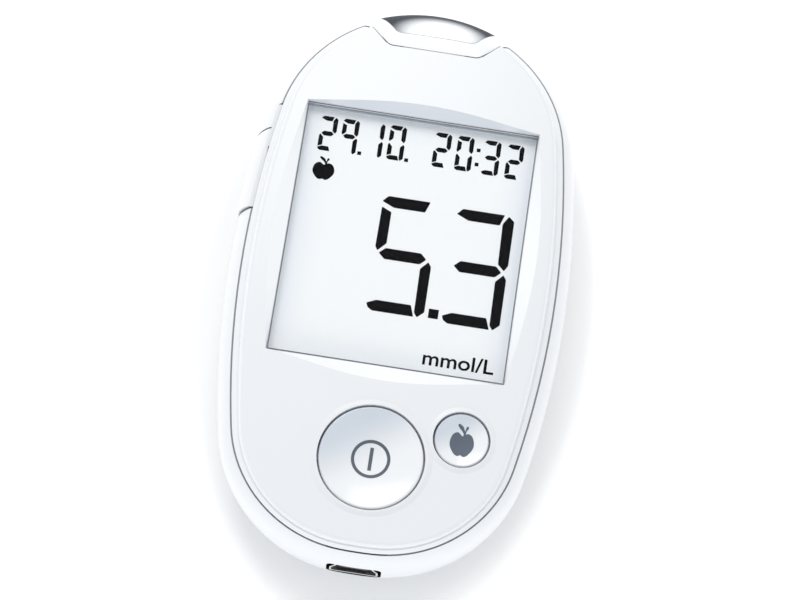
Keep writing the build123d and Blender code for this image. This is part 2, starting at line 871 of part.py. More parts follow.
def lying_rod(x_low, x_high, y, z, radius):
    """Cylinder along X."""
    middle = Pos((x_low + x_high) / 2, y, z)
    return middle * Rot(0, 90, 0) * Cylinder(radius, x_high - x_low)


def plunger(side):
    """Pin that the rocker pushes into its switch."""
    y = rocker_pivot_y + side * rocker_arm
    return lying_rod(plunger_tip_x, plunger_tip_x + plunger_length, y, plunger_z, plunger_radius)


def switch_bodies():
    """Housings of the two side switches under the board."""
    bodies = []
    for side in (-1, 1):
        y = rocker_pivot_y + side * rocker_arm
        at = (switch_face_x + switch_size[0] / 2, y)
        bore = plunger_tip_x + plunger_length + plunger_stroke + plunger_clearance
        body = pad(at, switch_size, board_z - switch_size[2])
        radius = plunger_radius + plunger_clearance
        bodies.append(body - lying_rod(-body_width, bore, y, plunger_z, radius))
    return Compound(bodies)


def main_board():
    """Green circuit board, notched around the rocker's pivot."""
    face = outline(board_z, board_inset, board_inset, board_inset)
    board = extrude(face, board_thickness)
    clear = bearing_size / 2 + bearing_notch
    x, y = rocker_pivot_x, rocker_pivot_y
    board -= block(-body_width, x + clear, y - clear, y + clear, 0, tall)
    case_hole = case_screw_radius + screw_clearance
    board_hole = board_screw_radius + screw_clearance
    board -= [rod(x, y, case_hole, 0, tall) for x, y in case_screws]
    board -= [rod(x, y, board_hole, 0, tall) for x, y in board_screws]
    return board


def pan_screw(x, y, radius, head_radius, head_height, length, seat_z, up):
    """Pan head screw; up is 1 where its tip points up and -1 where it points down."""
    shank_z = sorted((seat_z, seat_z + up * length))
    head_z = sorted((seat_z, seat_z - up * head_height))
    face_z = seat_z - up * head_height
    screw = rod(x, y, radius, *shank_z) + rod(x, y, head_radius, *head_z)
    arm = head_radius * screw_slot_share
    cross = Box(arm, screw_slot_width, 2 * screw_slot_depth)
    cross += Box(screw_slot_width, arm, 2 * screw_slot_depth)
    return screw - Pos(x, y, face_z) * cross


def mini_b(grow=0.0):
    """Outline of the port, narrow at the board and wide below it."""
    wide, narrow = usb_width / 2, usb_narrow_width / 2
    high, low = board_z, board_z - usb_height
    shoulder = high - usb_shoulder_drop
    right = [(narrow, high), (narrow, shoulder), (wide, shoulder - usb_shoulder_height), (wide, low)]
    face = make_face(Polyline(*right, *[(-x, z) for x, z in reversed(right)], close=True))
    face = fillet(face.vertices(), usb_corner)
    return offset(face, grow) if grow else face


def usb_shell():
    """Steel sleeve of the mini-B port."""
    back_y = usb_mouth_y + usb_length
    sleeve = along_y(mini_b(), usb_mouth_y, back_y)
    return sleeve - along_y(mini_b(-usb_sheet), -body_length, back_y - usb_sheet)


def usb_tongue():
    """Black core of the port: a base at the back and the tongue in front of it."""
    back_y = usb_mouth_y + usb_length - usb_sheet
    base_y = back_y - usb_base_length
    core = along_y(mini_b(-usb_sheet - usb_core_clearance), base_y, back_y)
    half, high = usb_tongue_width / 2, usb_tongue_height / 2
    return core + block(-half, half, base_y - usb_tongue_length, base_y, usb_z - high, usb_z + high)


def usb_contacts():
    """Gold contacts on the upper face of the tongue."""
    base_y = usb_mouth_y + usb_length - usb_sheet - usb_base_length
    low = usb_z + usb_tongue_height / 2
    size = (usb_contact_width, usb_tongue_length - usb_contact_height, usb_contact_height)
    first = -(usb_contact_count - 1) / 2 * usb_contact_pitch
    return Compound(
        [
            pad((first + i * usb_contact_pitch, base_y - size[1] / 2), size, low)
            for i in range(usb_contact_count)
        ]
    )


def strip_connector():
    """Housing that the test strip slides into, under the board."""
    half = connector_width / 2
    low_y = connector_mouth_y - connector_length
    body = block(-half, half, low_y, connector_mouth_y, board_z - connector_height, board_z)
    slot_half = connector_slot_width / 2
    return body - block(
        -slot_half,
        slot_half,
        connector_mouth_y - connector_slot_depth,
        connector_mouth_y + connector_mouth_gap,
        slot_z - connector_slot_height / 2,
        slot_z + connector_slot_height / 2,
    )


def strip_contacts():
    """Leaf contacts on the upper side of the strip's slot."""
    first = -(strip_contact_count - 1) / 2 * strip_contact_pitch
    high = slot_z + connector_slot_height / 2
    size = (strip_contact_width, connector_slot_depth - 2 * wall, contact_sheet)
    middle_y = connector_mouth_y - connector_slot_depth / 2
    return Compound(
        [
            pad((first + i * strip_contact_pitch, middle_y), size, high - contact_sheet)
            for i in range(strip_contact_count)
        ]
    )


def passives():
    """Row of small chip parts beside the memory."""
    x, y = passive_at
    return Compound(
        [
            pad((x + i * passive_pitch, y), passive_size, board_top_z)
            for i in range(passive_count)
        ]
    )


def case_screw(x, y):
    """Screw from the back through the rear post into the front one."""
    return pan_screw(
        x,
        y,
        case_screw_radius,
        case_screw_head_radius,
        case_screw_head_height,
        case_screw_length,
        case_screw_seat_z,
        1,
    )


def board_screw(x, y):
    """Short screw from above that holds the board to its post."""
    return pan_screw(
        x,
        y,
        board_screw_radius,
        board_screw_head_radius,
        board_screw_head_height,
        board_screw_length,
        board_top_z,
        -1,
    )


nodes = {
    "front_cover": front_cover(),
    "rear_cover": rear_cover(),
    "battery_door": battery_door(),
    "battery_link": battery_link(),
    "battery_cell_lower": rod(*cells[0], cell_diameter / 2, cell_z, cell_z + cell_height),
    "battery_cell_upper": rod(*cells[1], cell_diameter / 2, cell_z, cell_z + cell_height),
    "battery_contact_negative": battery_contact(*cells[0]),
    "battery_contact_positive": battery_contact(*cells[1]),
    "strip_port_trim": strip_port_trim(),
    "window_lens": window_lens(),
    "window_gasket": window_gasket(),
    "lcd_front_glass": display_glass(glass_top_z, contact_ledge),
    "lcd_rear_glass": display_glass(rear_glass_top_z, 0),
    "lcd_reflector": lcd_reflector(),
    "lcd_frame": lcd_frame(),
    "zebra_strip": zebra(),
    "power_button": button(power_x, power_y, power_radius, power_hole),
    "marker_button": button(marker_x, marker_y, marker_radius, marker_hole),
    "power_dome": snap_dome(power_x, power_y, power_dome_radius),
    "marker_dome": snap_dome(marker_x, marker_y, marker_dome_radius),
    "side_rocker": side_rocker(),
    "plunger_lower": plunger(-1),
    "plunger_upper": plunger(1),
    "switch_bodies": switch_bodies(),
    "main_board": main_board(),
    "microcontroller": pad(microcontroller_at, microcontroller_size, board_top_z),
    "memory_chip": pad(memory_at, memory_size, board_top_z),
    "crystal": pad(crystal_at, crystal_size, board_top_z),
    "passives": passives(),
    "buzzer": rod(*buzzer_at, buzzer_radius, board_z - buzzer_height, board_z),
    "thermistor": pad(thermistor_at, thermistor_size, board_z - thermistor_size[2]),
    "strip_connector": strip_connector(),
    "strip_contacts": strip_contacts(),
    "usb_shell": usb_shell(),
    "usb_tongue": usb_tongue(),
    "usb_contacts": usb_contacts(),
    "case_screws": Compound([case_screw(x, y) for x, y in case_screws]),
    "board_screws": Compound([board_screw(x, y) for x, y in board_screws]),
}

for name, solid in nodes.items():
    export_step(solid, f"parts/{name}.step")
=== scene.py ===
import math

import bmesh
import bpy
from mathutils import Matrix, Vector
from mathutils.bvhtree import BVHTree


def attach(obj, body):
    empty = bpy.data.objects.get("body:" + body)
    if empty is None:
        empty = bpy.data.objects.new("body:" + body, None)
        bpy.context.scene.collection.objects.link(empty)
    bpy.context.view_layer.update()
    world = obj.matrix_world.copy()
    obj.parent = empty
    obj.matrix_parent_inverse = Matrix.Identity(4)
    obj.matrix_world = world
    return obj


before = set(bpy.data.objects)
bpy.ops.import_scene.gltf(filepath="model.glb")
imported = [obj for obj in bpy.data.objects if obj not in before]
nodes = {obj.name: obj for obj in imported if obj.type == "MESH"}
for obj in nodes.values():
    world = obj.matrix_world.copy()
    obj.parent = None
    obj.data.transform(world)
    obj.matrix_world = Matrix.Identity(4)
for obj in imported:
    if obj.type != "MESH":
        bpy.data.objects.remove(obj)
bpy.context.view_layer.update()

# Looks of a blood glucose meter that lies on its back: white glossy case, silver strip
# port, clear window over a reflective display, two dished buttons. Lengths of the meter are
# written in millimetres and made metres with MM; lamps and floor are in metres.

MM = 0.001

# --- camera
LENS = 143.45
SENSOR = 36.0
CLIP = (0.01, 10.0)
EYE = (1.611 * MM, -195.416 * MM, 488.616 * MM)
SWING = math.radians(0.109)
TILT = math.radians(22.0)
ROLL = math.radians(8.825)

# --- lamps: a big key light beyond the strip end and a low fill light beyond the other end
KEY_PLACE = (-0.20, 0.71, 0.81)
KEY_SIZE = (0.65, 0.65)
KEY_POWER = 4.6
FILL_PLACE = (0.0, -1.0, 0.34)
FILL_SIZE = (1.4, 0.3)
FILL_POWER = 3.0

# --- floor: its glow is weak near the meter and strong far off, so that the shadow stays small
FLOOR_HALF = 2.0
FLOOR_WHITE = (0.80, 0.80, 0.80, 1)
FLOOR_GLOW = (0.14, 0.6)
FLOOR_GLOW_REACH = (0.050, 0.063)
FLOOR_GLOW_STRETCH = (1.62, 1.0, 0.0)

# --- sky: its tint changes with height, and a cooler patch hangs over the camera
SKY_STRENGTH = 0.825
SKY_SIDES = (0.96, 0.98, 1.0)
SKY_TOP = (1.0, 1.0, 1.0)
SKY_HEIGHTS = (0.3, 0.8)
SKY_PATCH = (0.45, 0.52, 0.62)
SKY_PATCH_WAY = (0, -0.62, 0.785)
SKY_PATCH_EDGE = (0.80, 0.97)

# --- plastics of the case: the flank white is a darker copy of the white, as painted shade on the flanks; the bright white is painted light, and the slope colour is painted shade
WHITE = (0.80, 0.81, 0.825)
FLANK_PAINTED_SHADE_WHITE = (0.765, 0.775, 0.79)
PAINTED_LIGHT_WHITE = (0.89, 0.90, 0.91)
SLOPE_PAINTED_SHADE = (0.72, 0.755, 0.80)
CASE_ROUGHNESS = 0.28
TONE_SCALE = 60.0
SHEEN_SCALE = 120.0
SHEEN_CHANGE = 0.015

# --- ranges of a noise that are stretched to full contrast
NOISE_WIDE = (0.2, 0.8)
NOISE_NARROW = (0.3, 0.7)

# --- gaps: reach of the shading, and the open shares that count as shut and as clear; then
# # the tints that gaps and seams take: pale gaps as painted light, and dark gaps, seams and port
# as painted shade
GAP = (0.9, 0.2, 0.6)
SIDE_KEY_GAP = (0.6, 0.5, 0.8)
PORT_GAP = (1.6, 0.45, 0.85)
# painted light: deep gaps made paler than the case white around them
GAP_PAINTED_LIGHT = (0.88, 0.89, 0.90)
SEAM_PAINTED_SHADE = (0.16, 0.165, 0.175)
SEAM_PAINTED_SHADE_LINE = (0.24, 0.25, 0.265)
PORT_PAINTED_SHADE = (0.01, 0.01, 0.012)

# --- heights: the back stays free of painted gap shade up to the first, and painted shade darkens
# # the rear cover's parting face over the second
REST_Z = (0.3, 0.8)
SEAM_Z = (15.95, 15.98)

# --- hood over the strip end, measured from a point beyond it: half its box and its slanted
# # sides (across + along), then the heights over which painted light makes it paler and the tilt
# of its side faces
HOOD_Y = 60.0
HOOD_HALF = (12.2, 21.5)
HOOD_BLUR = 0.3
HOOD_SLANT = (25.8, 26.6)
HOOD_Z = (15.9, 16.6)
STEEP = (0.25, 0.45)

# --- front cover's edge along the hood, which gets a line of painted shade, measured from the same point, and its groove's end, up to which the groove is painted dark as painted shade
EDGE_SLANT = (29.04, 29.12)
EDGE_ALONG = (20.9, 21.2)
EDGE_ACROSS = (11.6, 11.8)
GROOVE_END = (25.5, 27.5)

# --- port in the lower end, and the blur of the boxes round the port and round the slopes
PORT_Y = -48.5
PORT_HALF = (4.9, 2.5)
BOX_BLUR = 0.2

# --- window: its middle, half the clear lens, and the dark line round it, painted as the shade of the gap at the lens edge
WINDOW_Y = 4.7
LENS_HALF = (18.9, 21.8)
CLEAR_TINT = (0.995, 0.997, 0.997, 1)
CLEAR_IOR = 1.49
MIRROR_TINT = (0.25, 0.26, 0.27, 1)
MIRROR_ROUGHNESS = 0.04
RIM_LINE = 0.15
RIM_BLUR = 0.03
RIM_Z = (18.45, 18.6)
RIM_SHADE_TONES = ((0.10, 0.11, 0.13), (0.16, 0.17, 0.19))
RIM_ROUGHNESS = 0.5

# --- slopes round the window: half their box, their lean inwards that gets painted light, and their turn to the user that gets painted shade
SLOPES_HALF = (21.8, 25.0)
SLOPE_LEAN = (1.0, 3.0)
SLOPE_TURN = (-0.2, -0.08)

# --- display: its film, with painted shade that makes it bluer towards its edges, the plane that the segments lie on, and their thickness
FILM_MIDDLE = (0.98, 0.99, 0.99)
FILM_PAINTED_SHADE = (0.91, 0.945, 0.98)
FILM_SPECK = (0.6, 0.66, 0.7)
FILM_HALF = (19.5, 22.8)
FILM_FADE = 7.5
FILM_ROUGHNESS = 0.55
FILM_Z = 17.2
INK = 0.03

# --- pearl buttons: middle, radius, and the way in which painted shade makes them cooler and darker
POWER_MIDDLE = (0.0, -32.6)
POWER_RADIUS = 8.3
MARKER_MIDDLE = (13.4, -28.2)
MARKER_RADIUS = 4.4
PEARL = (0.85, 0.86, 0.87)
PEARL_PAINTED_SHADE = (0.61, 0.655, 0.71)
PEARL_ROUGHNESS = 0.16
PEARL_WAY = (-0.58, 0.81, 0)
PEARL_SPAN = (-0.25, 0.75)

# --- silver insert: a painted dark reflection grows with the distance from a middle, on the faces that look up
SILVER = (0.93, 0.94, 0.95)
SILVER_PAINTED_REFLECTION = (0.045, 0.05, 0.062)
SILVER_FLAKE = (0.5, 0.52, 0.55)
SILVER_METAL = 0.12
SILVER_STRETCH = (0.52, 1, 0)
SILVER_SHIFT = (-0.4, -42.0, 0)
SILVER_ENDS = (2.4, 4.7)
SILVER_TOP = (0.05, 0.3)

# --- brushed metal
BRUSH = (1, 12, 1)
BRUSH_SCALE = 700.0
BRUSH_DEPTH = 0.001
BRUSH_DULL = 0.88
BRUSH_CHANGE = (0.8, 1.25)

# --- signs on the display and on the buttons; their outlines are drawn one unit wide, and WELD
# joins points of such a drawing
UNIT_CORNER = (5.7, -15.25)
UNIT_SIZE = (11.37, 2.5)
UNIT_BOLD = 0.012
SCREEN_APPLE = ((-14.77, 15.25), (3.5, 3.0))
MARKER_APPLE = ((13.7, -28.15), (3.76, 3.85))
RING_RADIUS = 2.83
RING_HALF = 0.25
RING_STEPS = 96
BAR_HALF = (0.28, 1.85)
PRINT_LIFT = 0.012
PRINT = 0.02
PRINT_STEP = 0.4
ABOVE_ALL = 50.0
WELD = 1e-5
APPLE = [(0.03, 0.37), (0.22, 0.5), (0.5, 0.14), (0.33, -0.36), (0.13, -0.5), (0.0, -0.45),
         (-0.13, -0.5), (-0.34, -0.36), (-0.5, 0.12), (-0.25, 0.5)]
STALK = [(0.04, 0.34), (0.09, 0.34), (0.13, 0.58), (0.2, 0.76), (0.15, 0.79), (0.08, 0.6)]
LEAF = [(0.05, 0.5), (0.03, 0.67), (-0.08, 0.8), (-0.24, 0.83), (-0.19, 0.71), (-0.07, 0.6)]

# --- digits: stroke, width and height of a cell, then the left bottom corner of each digit
BIG_STROKE = 1.9
SMALL_STROKE = 0.79
BAR_ROUND = 0.07
POINT_ROUND = 0.03
BIG_CELL = (9.35, 20.1)
SMALL_CELL = (2.72, 6.15)
BIG_DIGITS = [((-4.53, -7.45), "5"), ((7.67, -7.7), "3")]
SMALL_DIGITS = [
    ((-16.4, 18.9), "2"),
    ((-12.85, 18.95), "9"),
    ((-8.65, 19.05), "1"),
    ((-5.1, 19.1), "0"),
    ((2.35, 19.05), "2"),
    ((6.05, 19.05), "0"),
    ((10.5, 19.0), "3"),
    ((14.3, 18.9), "2"),
]
BIG_POINTS = [(5.5, -7.25)]
BIG_POINT = 1.6
SMALL_POINTS = [(-9.8, 19.05), (-2.1, 19.1), (9.32, 22.8), (9.32, 20.25)]
SMALL_POINT = 0.62
LIT = {"0": "abcdef", "1": "bc", "2": "abged", "3": "abgcd", "5": "afgcd", "9": "abfgc"}


def metres(lengths):
    """Lengths in millimetres as metres."""
    return tuple(length * MM for length in lengths)


def new_object(name, bm, body):
    """Turns a finished bmesh into an object, which rides on a body if one is given."""
    mesh = bpy.data.meshes.new(name)
    for face in bm.faces:
        face.smooth = False
    bm.to_mesh(mesh)
    bm.free()
    piece = bpy.data.objects.new(name, mesh)
    bpy.context.scene.collection.objects.link(piece)
    if body:
        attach(piece, body)
    return piece


def add_camera():
    """Camera that looks down on the meter from beyond its lower end."""
    data = bpy.data.cameras.new("camera")
    data.lens = LENS
    data.sensor_width = SENSOR
    data.clip_start, data.clip_end = CLIP
    camera = bpy.data.objects.new("camera", data)
    bpy.context.scene.collection.objects.link(camera)
    turn = Matrix.Rotation(SWING, 4, "Y") @ Matrix.Rotation(TILT, 4, "X")
    turn = turn @ Matrix.Rotation(ROLL, 4, "Z")
    camera.matrix_world = Matrix.Translation(EYE) @ turn
    bpy.context.scene.camera = camera


def add_softbox(name, place, size, power):
    """Soft rectangular lamp aimed at the meter."""
    data = bpy.data.lights.new(name, "AREA")
    data.shape = "RECTANGLE"
    data.size, data.size_y = size
    data.energy = power
    lamp = bpy.data.objects.new(name, data)
    bpy.context.scene.collection.objects.link(lamp)
    lamp.location = place
    way = Vector((0, 0, 0)) - Vector(place)
    lamp.rotation_euler = way.to_track_quat("-Z", "Y").to_euler()


class Recipe:
    """Small helper that adds and links the nodes of one material."""

    def __init__(self, tree):
        self.tree = tree
        self.tree.nodes.clear()

    def add(self, kind, **settings):
        """New node with some of its settings."""
        node = self.tree.nodes.new(kind)
        for key, value in settings.items():
            setattr(node, key, value)
        return node

    def feed(self, value, into):
        """Links a socket into an input, or gives the input a fixed value."""
        if isinstance(value, bpy.types.NodeSocket):
            self.tree.links.new(value, into)
        else:
            into.default_value = value

    def combine(self, operation, *values):
        """Result of one sum, product or the like."""
        node = self.add("ShaderNodeMath", operation=operation)
        for value, into in zip(values, node.inputs):
            self.feed(value, into)
        return node.outputs[0]

    def times(self, first, second):
        return self.combine("MULTIPLY", first, second)

    def dot(self, first, second):
        """How far a vector goes along another."""
        node = self.add("ShaderNodeVectorMath", operation="DOT_PRODUCT")
        self.feed(first, node.inputs[0])
        self.feed(second, node.inputs[1])
        return node.outputs["Value"]

    def length(self, vector):
        node = self.add("ShaderNodeVectorMath", operation="LENGTH")
        self.feed(vector, node.inputs[0])
        return node.outputs["Value"]

    def apart(self, vector):
        """The three parts of a vector."""
        node = self.add("ShaderNodeSeparateXYZ")
        self.feed(vector, node.inputs[0])
        return node.outputs

    def mix(self, share, first, second):
        """Colour between two others, by a share. Sockets 6 and 7 of the node take them."""
        node = self.add("ShaderNodeMix", data_type="RGBA")
        self.feed(share, node.inputs[0])
        for socket, colour in ((6, first), (7, second)):
            fixed = isinstance(colour, tuple)
            self.feed((*colour, 1) if fixed else colour, node.inputs[socket])
        return node.outputs[2]

    def blend(self, share, first, second):
        """Surface between two others, by a share."""
        node = self.add("ShaderNodeMixShader")
        for value, into in zip((share, first, second), node.inputs):
            self.feed(value, into)
        return node.outputs[0]

    def spread(self, value, low, high, new_low=0.0, new_high=1.0):
        """Value moved smoothly from one range to another, and kept inside it."""
        node = self.add("ShaderNodeMapRange", interpolation_type="SMOOTHSTEP")
        self.feed(value, node.inputs[0])
        for into, number in zip(node.inputs[1:5], (low, high, new_low, new_high)):
            into.default_value = number
        return node.outputs[0]

    def fade(self, value, low=0.0, high=1.0):
        """Share that falls from 1 to 0 while a value goes from low to high."""
        return self.spread(value, low, high, 1.0, 0.0)

    def place(self, stretch=(1, 1, 1), shift=(0, 0, 0)):
        """Object coordinates, stretched and moved."""
        node = self.add("ShaderNodeMapping")
        node.inputs["Location"].default_value = shift
        node.inputs["Scale"].default_value = stretch
        self.feed(self.add("ShaderNodeTexCoord").outputs["Object"], node.inputs[0])
        return node.outputs[0]

    def facing(self):
        """Direction that the surface faces, in object space."""
        return self.add("ShaderNodeTexCoord").outputs["Normal"]

    def height(self):
        """Height over the table, in object space."""
        return self.apart(self.place())[2]

    def from_middle(self, y):
        """Distances across and along the meter from a point on its middle line."""
        parts = self.apart(self.place(shift=(0, -y * MM, 0)))
        return [self.combine("ABSOLUTE", part) for part in (parts[0], parts[1])]

    def outside(self, y, half, blur):
        """Share that rises past a box round a point on the middle line."""
        shares = [
            self.spread(away, *metres((limit - blur, limit)))
            for away, limit in zip(self.from_middle(y), half)
        ]
        return self.combine("MAXIMUM", *shares)

    def inside(self, y, half, blur):
        """Share that falls past such a box."""
        return self.fade(self.outside(y, half, blur))

    def open_share(self, gap=GAP):
        """How open a spot is: 0 deep in a gap and 1 out on the surface."""
        reach, shut, clear = gap
        node = self.add("ShaderNodeAmbientOcclusion", samples=16)
        node.inputs["Distance"].default_value = reach * MM
        return self.spread(node.outputs["AO"], shut, clear)

    def noise(self, where, scale, detail=2.0):
        node = self.add("ShaderNodeTexNoise")
        node.inputs["Scale"].default_value = scale
        node.inputs["Detail"].default_value = detail
        self.feed(where, node.inputs["Vector"])
        return node.outputs["Fac"]

    def bump(self, height, depth):
        """Surface direction changed by a fine relief, whose depth is in millimetres."""
        node = self.add("ShaderNodeBump")
        node.inputs["Distance"].default_value = depth * MM
        self.feed(height, node.inputs["Height"])
        return node.outputs[0]


def new_recipe(name):
    """Material with one surface shader that is ready to be fed."""
    material = bpy.data.materials.new(name)
    material.use_nodes = True
    recipe = Recipe(material.node_tree)
    shader = recipe.add("ShaderNodeBsdfPrincipled")
    out = recipe.add("ShaderNodeOutputMaterial")
    recipe.feed(shader.outputs[0], out.inputs[0])
    return material, recipe, shader


def moulded(name, colour, roughness=CASE_ROUGHNESS, tone=0.004, grain=0.0006,
            grain_scale=9000.0, specular=0.5, painted_gap_tint=None, painted_marks=None):
    """Injection-moulded plastic: slow changes of tone and gloss over a fine grain.
    painted_gap_tint is the colour that deep gaps and seams take as painted light and shade in
    place of their shading, and painted_marks changes the tint further with more painted light and
    shade."""
    material, recipe, shader = new_recipe(name)
    where = recipe.place()
    darker, lighter = (tuple(c * share for c in colour) for share in (1 - tone, 1 + tone))
    tint = recipe.mix(recipe.noise(where, TONE_SCALE, detail=3.0), darker, lighter)
    # painted light and shade in deep gaps and seams; the back that rests on the floor is kept
    # free of it
    if painted_gap_tint:
        resting = recipe.fade(recipe.height(), *metres(REST_Z))
        unpainted = recipe.combine("MAXIMUM", recipe.open_share(), resting)
        tint = recipe.mix(unpainted, painted_gap_tint, tint)
    if painted_marks:
        tint = painted_marks(recipe, tint)
    recipe.feed(tint, shader.inputs["Base Color"])
    patches = recipe.noise(where, SHEEN_SCALE, detail=0.0)
    limits = [roughness * share for share in (1 - SHEEN_CHANGE, 1 + SHEEN_CHANGE)]
    recipe.feed(recipe.spread(patches, *NOISE_WIDE, *limits), shader.inputs["Roughness"])
    shader.inputs["Specular IOR Level"].default_value = specular
    fine = recipe.noise(where, grain_scale, detail=1.0)
    recipe.feed(recipe.bump(fine, grain), shader.inputs["Normal"])
    return material


def rear_painted_light_and_shade(recipe, tint):
    """Painted light that makes the hood paler, painted shade on the rear cover's parting face
    beside it, and painted shade that makes the port dark.
    """
    tint = recipe.mix(recipe.spread(recipe.height(), *metres(HOOD_Z)), tint, PAINTED_LIGHT_WHITE)
    across, along = recipe.from_middle(HOOD_Y)
    aslant = recipe.spread(recipe.combine("ADD", across, along), *metres(HOOD_SLANT))
    steep = recipe.fade(recipe.apart(recipe.facing())[2], *STEEP)
    past_hood = recipe.outside(HOOD_Y, HOOD_HALF, HOOD_BLUR)
    beside = recipe.combine("MAXIMUM", past_hood, recipe.times(aslant, steep))
    parting = recipe.spread(recipe.height(), *metres(SEAM_Z))
    tint = recipe.mix(recipe.times(parting, beside), tint, SEAM_PAINTED_SHADE_LINE)
    near_port = recipe.inside(PORT_Y, PORT_HALF, BOX_BLUR)
    shut = recipe.fade(recipe.open_share(PORT_GAP))
    return recipe.mix(recipe.times(near_port, shut), tint, PORT_PAINTED_SHADE)


def side_key_painted_shade(recipe, tint):
    """Thin line of painted shade where the side key goes in under the front cover."""
    return recipe.mix(recipe.open_share(SIDE_KEY_GAP), SEAM_PAINTED_SHADE_LINE, tint)


def front_painted_light_and_shade(recipe, tint):
    """Painted light and painted shade on the slopes to the window, a line of painted shade on the
    edge and in the groove along the hood, and gaps elsewhere painted pale as painted light."""
    on_slopes = recipe.inside(WINDOW_Y, SLOPES_HALF, BOX_BLUR)
    to_window = recipe.place(stretch=(-1, -1, 0), shift=(0, WINDOW_Y * MM, 0))
    inwards = recipe.spread(recipe.dot(to_window, recipe.facing()), *metres(SLOPE_LEAN))
    tint = recipe.mix(recipe.times(inwards, on_slopes), tint, PAINTED_LIGHT_WHITE)
    to_user = recipe.fade(recipe.apart(recipe.facing())[1], *SLOPE_TURN)
    tint = recipe.mix(recipe.times(to_user, on_slopes), tint, SLOPE_PAINTED_SHADE)
    across, along = recipe.from_middle(HOOD_Y)
    edge = recipe.fade(recipe.combine("ADD", across, along), *metres(EDGE_SLANT))
    for away, limits in ((along, EDGE_ALONG), (across, EDGE_ACROSS)):
        edge = recipe.times(edge, recipe.fade(away, *metres(limits)))
    tint = recipe.mix(edge, tint, SEAM_PAINTED_SHADE_LINE)
    gap = recipe.mix(recipe.fade(along, *metres(GROOVE_END)), GAP_PAINTED_LIGHT, SEAM_PAINTED_SHADE)
    return recipe.mix(recipe.open_share(), gap, tint)


def pearl(name, middle, radius):
    """Glossy pearl lacquer of a button, with painted shade that makes it cooler and darker
    towards its upper left, and its gaps painted pale as painted light.
    """
    def shade(recipe, tint):
        around = recipe.place(shift=metres((-middle[0], -middle[1], 0)))
        limits = metres(share * radius for share in PEARL_SPAN)
        return recipe.mix(recipe.spread(recipe.dot(around, PEARL_WAY), *limits), tint, PEARL_PAINTED_SHADE)
    return moulded(name, PEARL, PEARL_ROUGHNESS, painted_gap_tint=GAP_PAINTED_LIGHT, painted_marks=shade)


def sheet_metal(name, colour, roughness):
    """Bare metal with a faint brushed grain and a few duller patches."""
    material, recipe, shader = new_recipe(name)
    shader.inputs["Metallic"].default_value = 1.0
    lines = recipe.noise(recipe.place(stretch=BRUSH), BRUSH_SCALE, detail=3.0)
    dull = tuple(c * BRUSH_DULL for c in colour)
    recipe.feed(recipe.mix(lines, dull, colour), shader.inputs["Base Color"])
    limits = [roughness * change for change in BRUSH_CHANGE]
    recipe.feed(recipe.spread(lines, *NOISE_NARROW, *limits), shader.inputs["Roughness"])
    recipe.feed(recipe.bump(lines, BRUSH_DEPTH), shader.inputs["Normal"])
    return material


def silver_lacquer():
    """Silver lacquer over plastic, bright at the front, with a painted dark reflection towards
    the ends of its top.
    """
    material, recipe, shader = new_recipe("silver_lacquer")
    shader.inputs["Metallic"].default_value = SILVER_METAL
    shader.inputs["Specular IOR Level"].default_value = 0.0
    around = recipe.place(stretch=SILVER_STRETCH, shift=metres(SILVER_SHIFT))
    ends = recipe.spread(recipe.length(around), *metres(SILVER_ENDS))
    on_top = recipe.spread(recipe.apart(recipe.facing())[2], *SILVER_TOP)
    tint = recipe.mix(recipe.times(ends, on_top), SILVER, SILVER_PAINTED_REFLECTION)
    flakes = recipe.noise(recipe.place(), scale=6000.0, detail=1.0)
    speck = recipe.spread(flakes, 0.35, 0.75, new_high=0.12)
    recipe.feed(recipe.mix(speck, tint, SILVER_FLAKE), shader.inputs["Base Color"])
    rough = recipe.spread(flakes, *NOISE_NARROW, new_low=0.2, new_high=0.3)
    recipe.feed(rough, shader.inputs["Roughness"])
    recipe.feed(recipe.bump(flakes, depth=0.0006), shader.inputs["Normal"])
    return material


def clear_plastic():
    """Clear window: light passes straight through, with a weak mirror on top and a dark line
    around its rim that is painted shade of the gap at the lens edge."""
    material = bpy.data.materials.new("clear_window")
    material.use_nodes = True
    recipe = Recipe(material.node_tree)
    through = recipe.add("ShaderNodeBsdfTransparent")
    through.inputs["Color"].default_value = CLEAR_TINT
    mirror = recipe.add("ShaderNodeBsdfGlossy")
    mirror.inputs["Roughness"].default_value = MIRROR_ROUGHNESS
    mirror.inputs["Color"].default_value = MIRROR_TINT
    haze = recipe.noise(recipe.place(), scale=350.0)
    recipe.feed(recipe.bump(haze, depth=0.0005), mirror.inputs["Normal"])
    slant = recipe.add("ShaderNodeFresnel")
    slant.inputs["IOR"].default_value = CLEAR_IOR
    inner_side = recipe.add("ShaderNodeNewGeometry").outputs["Backfacing"]
    share = recipe.times(slant.outputs[0], recipe.combine("SUBTRACT", 1.0, inner_side))
    window = recipe.blend(share, through.outputs[0], mirror.outputs[0])
    # dark line round the rim: painted shade of the gap at the lens edge
    rim = recipe.add("ShaderNodeBsdfPrincipled")
    rim.inputs["Roughness"].default_value = RIM_ROUGHNESS
    smoke = recipe.noise(recipe.place(), scale=900.0)
    recipe.feed(recipe.mix(smoke, *RIM_SHADE_TONES), rim.inputs["Base Color"])
    clear_half = [half - RIM_LINE for half in LENS_HALF]
    on_line = recipe.outside(WINDOW_Y, clear_half, RIM_BLUR)
    on_top = recipe.spread(recipe.height(), *metres(RIM_Z))
    rimmed = recipe.blend(recipe.times(on_line, on_top), window, rim.outputs[0])
    recipe.feed(rimmed, recipe.add("ShaderNodeOutputMaterial").inputs[0])
    return material


